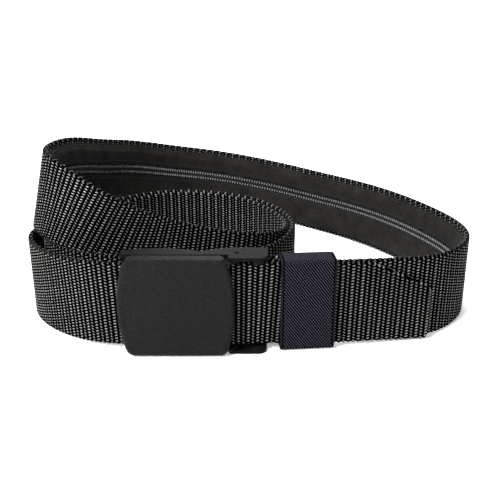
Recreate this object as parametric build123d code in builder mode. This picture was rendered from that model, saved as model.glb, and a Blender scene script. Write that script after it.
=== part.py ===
"""Webbing money belt, buckled and wound into a standing coil.

Units are millimetres. The belt stands on its lower edge on z = 0, +Z is up, +X runs along the
front of the buckle and -Y is the side that the buckle's cover faces.
"""

from build123d import *
import math
import os

os.makedirs("parts", exist_ok=True)

# Webbing
WEBBING_WIDTH = 38.0
WEBBING_THICKNESS = 1.9
SPAN_STEPS = 5
STEPS_PER_POINT = 3
SPAN_GAP = 0.012

# The strap's middle line from the tail's tip to the folded end: x, y, lift of the lower edge,
# lean in degrees. It is a uniform cubic B-spline over these points.
ROUTE = [
    (79, -70.8, 0.3, 0), (71, -72, 0.4, 0), (61, -73.6, 0.7, 0), (49, -75.6, 1.1, 0), (37, -77.4, 1.3, 0),
    (25, -78.6, 1.5, 0), (13, -79.4, 2.2, 0), (3, -80.8, 2.9, 0), (-7, -82, 3, 0), (-16, -82, 3, 0),
    (-26, -82, 3, 0), (-36, -82, 3, 0), (-46, -82, 3, 0), (-56, -81.7, 2.9, 0), (-66, -79, 2.4, 0),
    (-76, -74, 1.7, 0), (-86, -66.5, 1, 0), (-95, -57, 0.4, 0), (-102, -45.5, 0, 0), (-104.5, -34.5, 0, 0),
    (-102.5, -23.5, 0, 0), (-97, -12.5, 0, 0), (-90, -2.5, 0, 0), (-82.5, 7.5, 0, 0), (-74, 18, 0, 0),
    (-64, 27.5, 0, 0), (-52, 34.5, 0, 0), (-38, 37, 0, 0), (-22, 34.5, 0, 0), (-8, 28.5, 0, 0),
    (3.5, 20, 0, 0), (12.8, 8, 0, 0), (18.6, -4.5, 0, 0), (21.5, -16.5, 0, 0), (21.2, -28.5, 0, 0),
    (17.8, -39.5, 0, 0), (12.6, -49.5, 0, 0), (5, -58, 0, 0), (-6, -63.5, 0, 0), (-20, -66.2, 0, 0),
    (-38, -67.2, 0, 0), (-53, -67.2, 0, 0), (-66, -65.5, 0, 0), (-78, -60.5, 0, 0), (-88, -53.5, 0, 0),
    (-95, -44, 0, 0), (-97.5, -33.5, 0, 0), (-95, -22.5, 0, 0), (-89, -11.5, 0, 0), (-82, -1.5, 0, 0),
    (-73.5, 9.5, 0, 0), (-63.5, 20.5, 0, 0), (-52, 29, 0, 0), (-38, 33.1, 0, 0), (-23, 30.5, 0, 0),
    (-10, 25, 0, 0), (1, 16.5, 0, 0), (9, 5, 0, 0), (15, -7.5, 0, 0), (18, -18.5, 0, 0),
    (17.4, -29.5, 0.6, 0), (13.5, -39.5, 1.8, 0), (5, -46.5, 3, 0), (-8, -50, 5, 0), (-21, -49.7, 7, 0),
    (-34, -48.5, 9.5, 0), (-47, -49.5, 13, 0), (-60, -52, 19, 0), (-72, -52, 26, 2), (-83.5, -48, 33, 6),
    (-94, -40.5, 38, 11), (-100.5, -29.5, 38.4, 14), (-101, -16.5, 38.4, 10), (-96.5, -2, 38, 5),
    (-91, 13.5, 35, 1), (-83.5, 28.5, 30.5, 0), (-74, 45.5, 27, 0), (-62, 61.5, 22, 0), (-47, 74.5, 17, 0),
    (-30, 84, 13, 0), (-12, 88, 9.5, 0), (7, 87, 6.2, 0), (26, 81, 3.4, 0), (43, 72.3, 1.2, 0),
    (58, 62, 0.2, 0), (72, 47, 0, 0), (85, 27.5, 0, 0), (96, 4.5, 0, 0), (103, -15.5, 0, 0),
    (104.5, -31.5, 0, 0), (101, -45.5, 0, 0), (93, -57, 0.1, 0), (84, -65.3, 0.2, 0), (73, -69.4, 0.4, 0),
    (61, -71.2, 0.7, 0), (49, -73.2, 1.1, 0), (37, -75, 1.3, 0), (25, -76.2, 1.5, 0), (15, -77, 2.2, 0),
    (8, -77.4, 2.7, 0), (2.6, -77.7, 2.9, 0), (1.2, -74.4, 3, 0), (2.6, -70.9, 2.9, 0), (8, -73.2, 2.7, 0),
    (15, -74.7, 2.2, 0), (23, -74.1, 1.5, 0), (32, -73.2, 1.4, 0),
]
RUN_SLOPE = 0.09
TAIL_START_X = 46.0
TAIL_TIP_X = 78.0
TAIL_CUT_LENGTH = 29.0
TAIL_CUT_HEIGHT = 13.0
TAIL_CORNER = 3.5

# Buckle, seen from above: the strap runs along y = STRAP_Y between the lever and the frame.
BUCKLE_HEIGHT = 44.0
STRAP_Y = -82.0
WALL = 1.5
EAR = 1.0
EAR_GAP = 0.25
PIVOT_X = -5.4
PIVOT_Y = -79.3
PIN_RADIUS = 1.0
PIN_RECESS = 0.6
EAR_HOLE_RADIUS = 1.05
FRAME_FRONT_Y = -81.2
ARM_FRONT_Y = -85.3
ARM_LEFT_X = -8.9
LIP_HEIGHT = 3.0
BAR_X = 5.0
BAR_Y = -74.65
BAR_RADIUS = 1.4
COVER_FRONT_Y = -88.5
COVER_PLATE = 2.2
SKIRT = 2.0
COVER_SAG = 0.2
SKIRT_BACK_Y = -81.55
COVER_LEFT_X = -55.3
COVER_RIGHT_X = -6.2
COVER_SIDE_BULGE = 3.6
COVER_CORNER = 4.0
COVER_ROUND = 1.9
LEVER_OPEN_DEG = 60.0

# Keeper
KEEPER_LEFT_X = 12.5
KEEPER_WIDTH = 23.5
KEEPER_WALL = 1.0
KEEPER_BOTTOM = 0.0
KEEPER_TOP = 41.6
KEEPER_FRONT_Y = -82.0
KEEPER_BACK_Y = -70.8
STITCH_HEIGHT = 0.35

# Pocket, measured from the strap's middle line: across the width, and inwards from it
ZIP_ACROSS = 2.7
COIL_WIDTH = 2.85
COIL_IN = 2.35
COIL_THICKNESS = 1.5
TAPE_IN = 2.75
TAPE_THICKNESS = 0.4
TAPE_EDGE = 6.5
LINING_IN = 3.25
LINING_THICKNESS = 0.6
LINING_EDGE = 16.6
LINING_ZIP_GAP = 3.5
THREAD = 0.4
POCKET_START = 70.6
ZIP_START = 71.6
ZIP_OPEN_X = 66.5
POCKET_END_X = 46.0
OPEN_GAP = 0.6
SLIDER_X = 60.0
SLIDER_LENGTH = 9.0
SLIDER_WIDTH = 9.8
SLIDER_PLATE = 0.7
SLIDER_GAP = 0.3
NECK_WIDTH = 0.8
PULL_LENGTH = 15.0
PULL_WIDTH = 5.0
PULL_THICKNESS = 1.2
PULL_WIRE = 1.2


def blend(values, t):
    """One coordinate of the uniform cubic B-spline, between the middle two of four values."""
    a, b, c, d = values
    s = 1 - t
    return (s**3 * a + (3 * t**3 - 6 * t**2 + 4) * b + (3 * s**3 - 6 * s**2 + 4) * c + t**3 * d) / 6


def middle(u):
    """The middle line's x, y, z and lean where u counts along ROUTE."""
    first = 2 * Vector(*ROUTE[0][:2]) - Vector(*ROUTE[1][:2])
    last = 2 * Vector(*ROUTE[-1][:2]) - Vector(*ROUTE[-2][:2])
    ends = [(first.X, first.Y, *ROUTE[0][2:])] + ROUTE + [(last.X, last.Y, *ROUTE[-1][2:])]
    i = min(int(u), len(ROUTE) - 2)
    four = ends[i : i + 4]
    x, y, lift, lean = (blend([p[k] for p in four], u - i) for k in range(4))
    return Vector(x, y, lift + WEBBING_WIDTH / 2), lean


def strap_plane(u, inwards=0.0, across=0.0):
    """A plane square to the strap, x towards the coil's inside and y down across the width."""
    here, lean = middle(u)
    along = (middle(u + 0.01)[0] - middle(u - 0.01)[0]).normalized()
    up = (Vector(0, 0, 1) - along * along.Z).normalized()
    inside = along.cross(up)
    turn = math.radians(lean)
    across_way = up * math.cos(turn) + inside * math.sin(turn)
    inside_way = inside * math.cos(turn) - up * math.sin(turn)
    return Plane(origin=here + inside_way * inwards + across_way * across, x_dir=inside_way, z_dir=along)


def strip(stations, thickness, width, inwards=0.0, across=0.0):
    """A ribbon with a rectangular section, lofted through the strap's planes at the stations."""
    with BuildPart() as ribbon:
        for u in stations:
            with BuildSketch(strap_plane(u, inwards, across)):
                Rectangle(thickness, width)
        loft(ruled=True)
    return ribbon.part


def steps(start, end, per_point=STEPS_PER_POINT):
    """Even stations from start to end, about per_point of them between two route points."""
    count = max(1, round((end - start) * per_point))
    return [start + (end - start) * i / count for i in range(count + 1)]


def run_station(x, first, last):
    """The station between first and last where the middle line reaches x."""
    low, high = first, last
    rising = middle(last)[0].X > middle(first)[0].X
    for _ in range(40):
        half = (low + high) / 2
        if (middle(half)[0].X < x) == rising:
            low = half
        else:
            high = half
    return low


def save(part, name):
    """Label a part and write it to its STEP file."""
    part.label = name
    export_step(part, f"parts/{name}.step")


# The strap, in short spans with hairline joints, from the tail to the folded end
tail_station = run_station(TAIL_START_X, 0.0, 5.0)
strap_end = len(ROUTE) - 1.0
strap_stations = steps(tail_station, strap_end)
spans = []
for first in range(0, len(strap_stations) - 1, SPAN_STEPS):
    group = strap_stations[first : first + SPAN_STEPS + 1]
    group = [group[0] + SPAN_GAP] + group[1:]
    spans.append(strip(group, WEBBING_THICKNESS, WEBBING_WIDTH))

tail_plane = strap_plane(tail_station)
tail_length = (TAIL_TIP_X - TAIL_START_X) * math.hypot(1, RUN_SLOPE)
half_width = WEBBING_WIDTH / 2
with BuildPart() as tail:
    with BuildSketch(Plane(origin=tail_plane.origin, x_dir=-tail_plane.z_dir, z_dir=-tail_plane.x_dir)):
        with BuildLine():
            Polyline(
                (0, -half_width),
                (tail_length, -half_width),
                (tail_length, half_width - TAIL_CUT_HEIGHT),
                (tail_length - TAIL_CUT_LENGTH, half_width),
                (0, half_width),
                close=True,
            )
        make_face()
        fillet(vertices().sort_by(Axis.X)[-3:], TAIL_CORNER)
    extrude(amount=WEBBING_THICKNESS / 2, both=True)
webbing = Compound(children=[tail.part] + spans)
save(webbing, "webbing_strap")

# Box stitching that holds the folded end
flap_start = run_station(13.0, 102.5, strap_end)
flap_stations = [u for u in strap_stations if u > flap_start][:-1]
stitch_out = -WEBBING_THICKNESS / 2 - STITCH_HEIGHT / 2
fold_rows = [strip(flap_stations, STITCH_HEIGHT, THREAD, stitch_out, row) for row in (-15.5, -5.2, 5.2, 15.5)]
save(Compound(children=fold_rows), "fold_stitching")

# Buckle frame: base plate, two side walls with arms, and the fixed bar
base_y = FRAME_FRONT_Y + 1.9
with BuildPart() as frame_part:
    with BuildSketch(Plane.XY):
        with BuildLine():
            Line((-54, FRAME_FRONT_Y), (-21, FRAME_FRONT_Y))
            Line((-21, FRAME_FRONT_Y), (-21, -77.6))
            ThreePointArc((-21, -77.6), (-38, -73.6), (-54, -76.5))
            Line((-54, -76.5), (-54, FRAME_FRONT_Y))
        make_face()
        with BuildLine():
            Line((-21, FRAME_FRONT_Y), (ARM_LEFT_X, FRAME_FRONT_Y))
            Line((ARM_LEFT_X, FRAME_FRONT_Y), (ARM_LEFT_X, ARM_FRONT_Y))
            Line((ARM_LEFT_X, ARM_FRONT_Y), (3.6, ARM_FRONT_Y))
            ThreePointArc((3.6, ARM_FRONT_Y), (6.2, -84.2), (7.3, -81.5))
            Line((7.3, -81.5), (7.5, -73.6))
            ThreePointArc((7.5, -73.6), (-4, -72.7), (-21, -77.6))
            Line((-21, -77.6), (-21, FRAME_FRONT_Y))
        make_face()
        with Locations((PIVOT_X, PIVOT_Y)):
            Circle(PIN_RADIUS, mode=Mode.SUBTRACT)
    extrude(amount=WALL)
    mirror(about=Plane.XY.offset(BUCKLE_HEIGHT / 2))
    with BuildSketch(Plane.XY.offset(BUCKLE_HEIGHT / 2)):
        with Locations((-38, base_y)):
            Rectangle(32, 1.8)
    extrude(amount=BUCKLE_HEIGHT / 2 - WALL, both=True)
    with BuildSketch(Plane.XY.offset(BUCKLE_HEIGHT / 2)):
        with Locations((-18, base_y)):
            Rectangle(8.2, 1.8)
    extrude(amount=WEBBING_WIDTH / 2, both=True)
    with BuildSketch(Plane.XY.offset(WALL)):
        with Locations((BAR_X, BAR_Y)):
            Circle(BAR_RADIUS)
    extrude(amount=BUCKLE_HEIGHT - 2 * WALL)
    for lip_z in (0.0, BUCKLE_HEIGHT - LIP_HEIGHT):
        with BuildSketch(Plane.XY.offset(lip_z)):
            with BuildLine():
                Polyline(
                    (1.2, ARM_FRONT_Y),
                    (3.6, ARM_FRONT_Y),
                    (5.6, ARM_FRONT_Y + 0.9),
                    (5.2, ARM_FRONT_Y + 1.9),
                    (3.4, ARM_FRONT_Y + 1.2),
                    (1.2, ARM_FRONT_Y + 1.2),
                    close=True,
                )
            make_face()
        extrude(amount=LIP_HEIGHT)
save(frame_part.part, "buckle_frame")

# Buckle lever: cover plate, skirts, ears on the pin, and a ribbed cam under the plate
cover_middle = BUCKLE_HEIGHT / 2
corner_left = COVER_LEFT_X + COVER_SIDE_BULGE
corner_right = COVER_RIGHT_X - COVER_SIDE_BULGE
with BuildPart() as lever:
    with BuildSketch(Plane(origin=(0, COVER_FRONT_Y, 0), x_dir=(1, 0, 0), z_dir=(0, -1, 0))):
        with BuildLine():
            ThreePointArc((corner_left, COVER_SAG), ((corner_left + corner_right) / 2, 0), (corner_right, COVER_SAG))
            ThreePointArc((corner_right, COVER_SAG), (COVER_RIGHT_X, cover_middle), (corner_right, BUCKLE_HEIGHT - COVER_SAG))
            ThreePointArc(
                (corner_right, BUCKLE_HEIGHT - COVER_SAG),
                ((corner_left + corner_right) / 2, BUCKLE_HEIGHT),
                (corner_left, BUCKLE_HEIGHT - COVER_SAG),
            )
            ThreePointArc((corner_left, BUCKLE_HEIGHT - COVER_SAG), (COVER_LEFT_X, cover_middle), (corner_left, COVER_SAG))
        make_face()
        fillet(vertices(), COVER_CORNER)
    extrude(amount=-COVER_PLATE)
    front_edges = edges().group_by(Axis.Y)[0]
    fillet(front_edges, COVER_ROUND)
    for side in (0, 1):
        skirt_z = COVER_SAG + side * (BUCKLE_HEIGHT - SKIRT - 2 * COVER_SAG)
        with BuildSketch(Plane.XY.offset(skirt_z)):
            with BuildLine():
                Polyline(
                    (corner_left + 2.4, COVER_FRONT_Y + 1.2),
                    (corner_right - 2.4, COVER_FRONT_Y + 1.2),
                    (corner_right - 0.8, COVER_FRONT_Y + COVER_PLATE),
                    (corner_right - 0.8, SKIRT_BACK_Y - 2.8),
                    (corner_right - 2.4, SKIRT_BACK_Y),
                    (corner_left + 3.0, SKIRT_BACK_Y),
                    (corner_left + 0.8, SKIRT_BACK_Y - 2.0),
                    (corner_left + 0.8, COVER_FRONT_Y + COVER_PLATE),
                    close=True,
                )
            make_face()
        extrude(amount=SKIRT)
        ear_z = WALL + EAR_GAP + side * (BUCKLE_HEIGHT - 2 * WALL - 2 * EAR_GAP - EAR)
        with BuildSketch(Plane.XY.offset(ear_z)):
            with BuildLine():
                Polyline(
                    (PIVOT_X - 11.0, COVER_FRONT_Y + COVER_PLATE - 0.4),
                    (PIVOT_X - 2.6, COVER_FRONT_Y + COVER_PLATE - 0.4),
                    (PIVOT_X + 2.0, PIVOT_Y - 1.0),
                    (PIVOT_X - 2.0, PIVOT_Y + 1.2),
                    (PIVOT_X - 6.0, SKIRT_BACK_Y + 0.6),
                    (PIVOT_X - 11.0, SKIRT_BACK_Y),
                    close=True,
                )
            make_face()
            with Locations((PIVOT_X, PIVOT_Y)):
                Circle(2.4)
                Circle(EAR_HOLE_RADIUS, mode=Mode.SUBTRACT)
        extrude(amount=EAR)
    with BuildSketch(Plane.XY.offset(cover_middle)):
        for rib in range(3):
            rib_x = PIVOT_X - 13.0 + 2.4 * rib
            with BuildLine():
                Polyline(
                    (rib_x - 1.1, COVER_FRONT_Y + COVER_PLATE - 0.4),
                    (rib_x + 1.1, COVER_FRONT_Y + COVER_PLATE - 0.4),
                    (rib_x + 0.15, STRAP_Y - WEBBING_THICKNESS / 2 - 0.3),
                    (rib_x - 0.15, STRAP_Y - WEBBING_THICKNESS / 2 - 0.3),
                    close=True,
                )
            make_face()
    extrude(amount=17.5, both=True)
save(lever.part, "buckle_lever")

# Pivot pin, pressed in the frame's two walls
with BuildPart() as pin:
    with BuildSketch(Plane.XY.offset(PIN_RECESS)):
        with Locations((PIVOT_X, PIVOT_Y)):
            Circle(PIN_RADIUS)
    extrude(amount=BUCKLE_HEIGHT - 2 * PIN_RECESS)
save(pin.part, "pivot_pin")

# Elastic keeper: a flat sleeve round the tail, the run behind it and the folded end
keeper_y = (KEEPER_FRONT_Y + KEEPER_BACK_Y) / 2
keeper_depth = KEEPER_BACK_Y - KEEPER_FRONT_Y
keeper_height = KEEPER_TOP - KEEPER_BOTTOM
keeper_plane = Plane(
    origin=(KEEPER_LEFT_X, keeper_y - RUN_SLOPE * KEEPER_WIDTH / 2, (KEEPER_TOP + KEEPER_BOTTOM) / 2),
    x_dir=Vector(-RUN_SLOPE, 1, 0).normalized(),
    z_dir=Vector(1, RUN_SLOPE, 0).normalized(),
)
with BuildPart() as keeper:
    with BuildSketch(keeper_plane):
        RectangleRounded(keeper_depth, keeper_height, 1.6)
        RectangleRounded(keeper_depth - 2 * KEEPER_WALL, keeper_height - 2 * KEEPER_WALL, 0.7, mode=Mode.SUBTRACT)
    extrude(amount=KEEPER_WIDTH)
save(keeper.part, "elastic_keeper")

# The keeper's ends lap at its back, and two rows of stitches hold them
with BuildPart() as keeper_lap:
    with BuildSketch(keeper_plane):
        with Locations((keeper_depth / 2 + 0.45, 0)):
            RectangleRounded(0.9, 13.0, 0.3)
    extrude(amount=KEEPER_WIDTH)
save(keeper_lap.part, "keeper_lap")

with BuildPart() as keeper_seam:
    with BuildSketch(keeper_plane.offset(0.8)):
        with Locations((keeper_depth / 2 + 1.05, -4.5), (keeper_depth / 2 + 1.05, 4.5)):
            Rectangle(0.3, 0.6)
    extrude(amount=KEEPER_WIDTH - 1.6)
save(keeper_seam.part, "keeper_stitching")

# The hidden pocket on the strap's inner face
run_first, run_last = 91.0, 98.0
pocket_end = run_station(POCKET_END_X, run_first, run_last)
closed_end = run_station(ZIP_OPEN_X, run_first, run_last)
closed_steps = steps(ZIP_START, closed_end, 2)
open_steps = steps(closed_end, pocket_end, 2)
zip_steps = closed_steps + open_steps[1:]
pocket_steps = [POCKET_START] + zip_steps
for side, name in ((1, "upper"), (-1, "lower")):
    inner_edge = ZIP_ACROSS + side * LINING_ZIP_GAP
    outer_edge = side * LINING_EDGE
    lining_width = abs(outer_edge - inner_edge)
    lining_across = (outer_edge + inner_edge) / 2
    lining_in = LINING_IN + LINING_THICKNESS / 2
    lining = strip(pocket_steps, LINING_THICKNESS, lining_width, lining_in, lining_across)
    save(lining, f"pocket_lining_{name}")
    hem_in = LINING_IN + LINING_THICKNESS + THREAD / 2
    save(strip(pocket_steps, THREAD, THREAD, hem_in, outer_edge - side * 1.4), f"hem_stitching_{name}")
    save(strip(pocket_steps, THREAD, THREAD, hem_in, inner_edge + side * 1.2), f"zip_stitching_{name}")
    tape_across = ZIP_ACROSS + side * (COIL_WIDTH + 0.1 + TAPE_EDGE / 2)
    tape = strip(zip_steps, TAPE_THICKNESS, TAPE_EDGE - 1.0, TAPE_IN + TAPE_THICKNESS / 2, tape_across + side * 0.5)
    save(tape, f"zipper_tape_{name}")
    coil_in = COIL_IN + COIL_THICKNESS / 2
    coil_across = ZIP_ACROSS + side * (COIL_WIDTH / 2 + 0.02)
    closed_coil = strip(closed_steps, COIL_THICKNESS, COIL_WIDTH, coil_in, coil_across)
    open_coil = strip(open_steps, COIL_THICKNESS, COIL_WIDTH - 0.2, coil_in, coil_across + side * OPEN_GAP)
    save(Compound(children=[closed_coil, open_coil]), f"zipper_coil_{name}")

# Zip stops: one across both coils at the closed end, one on each coil at the open end
stop_in = COIL_IN + COIL_THICKNESS / 2
bottom_steps = [ZIP_START - 0.22, ZIP_START - 0.04]
save(strip(bottom_steps, COIL_THICKNESS + 0.5, 2 * COIL_WIDTH, stop_in, ZIP_ACROSS), "zipper_bottom_stop")
stop_near = run_station(POCKET_END_X - 0.3, run_first, run_last)
stop_far = run_station(POCKET_END_X - 2.4, run_first, run_last)
top_stops = [
    strip([stop_near, stop_far], COIL_THICKNESS + 0.3, COIL_WIDTH, stop_in, ZIP_ACROSS + side * 2.4)
    for side in (1, -1)
]
save(Compound(children=top_stops), "zipper_top_stops")

# Slider: two plates joined by a neck, on the straight run
slider_station = run_station(SLIDER_X, run_first, run_last)
slider_frame = strap_plane(slider_station, 0.0, ZIP_ACROSS)
plate_low = COIL_IN - SLIDER_GAP - SLIDER_PLATE
plate_high = COIL_IN + COIL_THICKNESS + 2 * SLIDER_GAP
coil_channel = plate_high - plate_low - SLIDER_PLATE
slider_face = Plane(
    origin=slider_frame.origin,
    x_dir=-slider_frame.z_dir,
    z_dir=slider_frame.x_dir,
)
with BuildPart() as slider:
    for level in (plate_low, plate_high):
        with BuildSketch(slider_face.offset(level)):
            RectangleRounded(SLIDER_LENGTH, SLIDER_WIDTH, 1.8)
        extrude(amount=SLIDER_PLATE)
    with BuildSketch(slider_face.offset(plate_low)):
        with Locations((-SLIDER_LENGTH / 2 + 1.5, 0)):
            SlotOverall(2.6, NECK_WIDTH)
    extrude(amount=coil_channel + SLIDER_PLATE)
save(slider.part, "zipper_slider")

bridge_level = plate_high + SLIDER_PLATE
with BuildPart() as bridge:
    with BuildSketch(Plane(origin=slider_face.origin, x_dir=slider_face.x_dir, z_dir=-slider_face.y_dir)):
        with BuildLine():
            Polyline(
                (-3.4, bridge_level),
                (-3.0, bridge_level + 2.0),
                (-2.0, bridge_level + 2.8),
                (2.0, bridge_level + 2.8),
                (3.0, bridge_level + 2.0),
                (3.4, bridge_level),
                (2.3, bridge_level),
                (2.0, bridge_level + 1.5),
                (1.4, bridge_level + 1.9),
                (-1.4, bridge_level + 1.9),
                (-2.0, bridge_level + 1.5),
                (-2.3, bridge_level),
                close=True,
            )
        make_face()
    extrude(amount=0.9, both=True)
save(bridge.part, "slider_bridge")

# Pull tab: an eye bar under the bridge and a flat tab that lies along the chain
eye_level = bridge_level + 0.95
eye_plane = Plane(
    origin=slider_face.origin + slider_face.z_dir * eye_level,
    x_dir=slider_face.x_dir,
    z_dir=slider_face.y_dir,
)
with BuildPart() as pull:
    with BuildSketch(slider_face.offset(eye_level - PULL_THICKNESS / 2)):
        with Locations((PULL_LENGTH / 2 - PULL_WIRE / 2, 0)):
            RectangleRounded(PULL_LENGTH, PULL_WIDTH, 0.59)
        with Locations((2.4, 0)):
            Rectangle(6.0, PULL_WIDTH - 2 * PULL_WIRE, mode=Mode.SUBTRACT)
        with Locations((-PULL_WIRE / 2, 0)):
            Rectangle(PULL_WIRE, PULL_WIDTH, mode=Mode.SUBTRACT)
        with Locations((PULL_LENGTH - 3.2, 0)):
            Circle(1.0, mode=Mode.SUBTRACT)
    extrude(amount=PULL_THICKNESS)
    with BuildSketch(eye_plane):
        Circle(PULL_WIRE / 2)
    extrude(amount=PULL_WIDTH / 2, both=True)
save(pull.part, "pull_tab")
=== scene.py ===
"""A webbing money belt, buckled and wound into a standing coil: its visual model."""

import logging
import math
from dataclasses import dataclass, field
from enum import Enum
from typing import Callable, Sequence

import bpy
import numpy as np
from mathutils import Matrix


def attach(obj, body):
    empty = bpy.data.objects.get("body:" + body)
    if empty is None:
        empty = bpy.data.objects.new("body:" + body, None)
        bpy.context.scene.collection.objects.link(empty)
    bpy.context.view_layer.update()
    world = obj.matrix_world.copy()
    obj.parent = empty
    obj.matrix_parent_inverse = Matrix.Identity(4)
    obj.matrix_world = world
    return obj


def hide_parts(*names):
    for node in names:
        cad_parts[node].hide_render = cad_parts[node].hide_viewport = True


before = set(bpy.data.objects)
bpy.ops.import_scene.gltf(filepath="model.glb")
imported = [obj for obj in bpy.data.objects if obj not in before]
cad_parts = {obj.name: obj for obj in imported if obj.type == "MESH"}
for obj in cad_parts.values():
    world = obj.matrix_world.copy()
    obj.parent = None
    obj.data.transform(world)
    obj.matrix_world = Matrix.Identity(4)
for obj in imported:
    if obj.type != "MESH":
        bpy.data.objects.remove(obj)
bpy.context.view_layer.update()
log = logging.getLogger("money_belt")
MM = 0.001

# The strap's middle line from the tail's tip to the folded end, in millimetres: x, y, lift of the
# lower edge, lean in degrees. It is a uniform cubic B-spline over these points.
ROUTE = [
    (79, -70.8, 0.3, 0), (71, -72, 0.4, 0), (61, -73.6, 0.7, 0), (49, -75.6, 1.1, 0), (37, -77.4, 1.3, 0),
    (25, -78.6, 1.5, 0), (13, -79.4, 2.2, 0), (3, -80.8, 2.9, 0), (-7, -82, 3, 0), (-16, -82, 3, 0),
    (-26, -82, 3, 0), (-36, -82, 3, 0), (-46, -82, 3, 0), (-56, -81.7, 2.9, 0), (-66, -79, 2.4, 0),
    (-76, -74, 1.7, 0), (-86, -66.5, 1, 0), (-95, -57, 0.4, 0), (-102, -45.5, 0, 0), (-104.5, -34.5, 0, 0),
    (-102.5, -23.5, 0, 0), (-97, -12.5, 0, 0), (-90, -2.5, 0, 0), (-82.5, 7.5, 0, 0), (-74, 18, 0, 0),
    (-64, 27.5, 0, 0), (-52, 34.5, 0, 0), (-38, 37, 0, 0), (-22, 34.5, 0, 0), (-8, 28.5, 0, 0),
    (3.5, 20, 0, 0), (12.8, 8, 0, 0), (18.6, -4.5, 0, 0), (21.5, -16.5, 0, 0), (21.2, -28.5, 0, 0),
    (17.8, -39.5, 0, 0), (12.6, -49.5, 0, 0), (5, -58, 0, 0), (-6, -63.5, 0, 0), (-20, -66.2, 0, 0),
    (-38, -67.2, 0, 0), (-53, -67.2, 0, 0), (-66, -65.5, 0, 0), (-78, -60.5, 0, 0), (-88, -53.5, 0, 0),
    (-95, -44, 0, 0), (-97.5, -33.5, 0, 0), (-95, -22.5, 0, 0), (-89, -11.5, 0, 0), (-82, -1.5, 0, 0),
    (-73.5, 9.5, 0, 0), (-63.5, 20.5, 0, 0), (-52, 29, 0, 0), (-38, 33.1, 0, 0), (-23, 30.5, 0, 0),
    (-10, 25, 0, 0), (1, 16.5, 0, 0), (9, 5, 0, 0), (15, -7.5, 0, 0), (18, -18.5, 0, 0),
    (17.4, -29.5, 0.6, 0), (13.5, -39.5, 1.8, 0), (5, -46.5, 3, 0), (-8, -50, 5, 0), (-21, -49.7, 7, 0),
    (-34, -48.5, 9.5, 0), (-47, -49.5, 13, 0), (-60, -52, 19, 0), (-72, -52, 26, 2), (-83.5, -48, 33, 6),
    (-94, -40.5, 38, 11), (-100.5, -29.5, 38.4, 14), (-101, -16.5, 38.4, 10), (-96.5, -2, 38, 5),
    (-91, 13.5, 35, 1), (-83.5, 28.5, 30.5, 0), (-74, 45.5, 27, 0), (-62, 61.5, 22, 0), (-47, 74.5, 17, 0),
    (-30, 84, 13, 0), (-12, 88, 9.5, 0), (7, 87, 6.2, 0), (26, 81, 3.4, 0), (43, 72.3, 1.2, 0),
    (58, 62, 0.2, 0), (72, 47, 0, 0), (85, 27.5, 0, 0), (96, 4.5, 0, 0), (103, -15.5, 0, 0),
    (104.5, -31.5, 0, 0), (101, -45.5, 0, 0), (93, -57, 0.1, 0), (84, -65.3, 0.2, 0), (73, -69.4, 0.4, 0),
    (61, -71.2, 0.7, 0), (49, -73.2, 1.1, 0), (37, -75, 1.3, 0), (25, -76.2, 1.5, 0), (15, -77, 2.2, 0),
    (8, -77.4, 2.7, 0), (2.6, -77.7, 2.9, 0), (1.2, -74.4, 3, 0), (2.6, -70.9, 2.9, 0), (8, -73.2, 2.7, 0),
    (15, -74.7, 2.2, 0), (23, -74.1, 1.5, 0), (32, -73.2, 1.4, 0),
]
WEBBING_WIDTH = 38.0
WEBBING_HALF = 0.95
# The fold's stitches start at this x past this control point, and stop this gap before the end.
FOLD_X = 13.0
FOLD_POINT = 102.5
FOLD_GAP = 2.0
FOLD_LEVEL = 1.3
FOLD_ROWS = (-15.5, -5.2, 5.2, 15.5)
Array = np.ndarray


# Shader writing


def operator(operation: str, swapped: bool = False) -> Callable:
    """A method that adds one Math node of that operation, with the number first when swapped."""

    def method(self: "Val", other: object) -> "Val":
        return self._math(operation, *((other, self) if swapped else (self, other)))

    return method


class Val:
    """A socket that can be used in plain arithmetic: each operation adds one Math node."""

    __add__, __radd__ = operator("ADD"), operator("ADD", True)
    __sub__, __rsub__ = operator("SUBTRACT"), operator("SUBTRACT", True)
    __mul__, __rmul__ = operator("MULTIPLY"), operator("MULTIPLY", True)

    def __init__(self, paint: "Paint", socket: bpy.types.NodeSocket) -> None:
        """Keep the socket and the material it belongs to.

        Args:
            paint: the material being written.
            socket: the output socket to calculate with.
        """
        self.paint = paint
        self.socket = socket

    def _math(self, operation: str, *values: object) -> "Val":
        """One Math node of that operation on the values."""
        return self.paint.node("ShaderNodeMath", {"operation": operation}, dict(enumerate(values)))

    def sine(self) -> "Val":
        """The sine of the value, in radians."""
        return self._math("SINE", self)


class Coords(Enum):
    """Which coordinates a pattern follows."""

    OBJECT = "Object"
    CLOTH = "weave"


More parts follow.
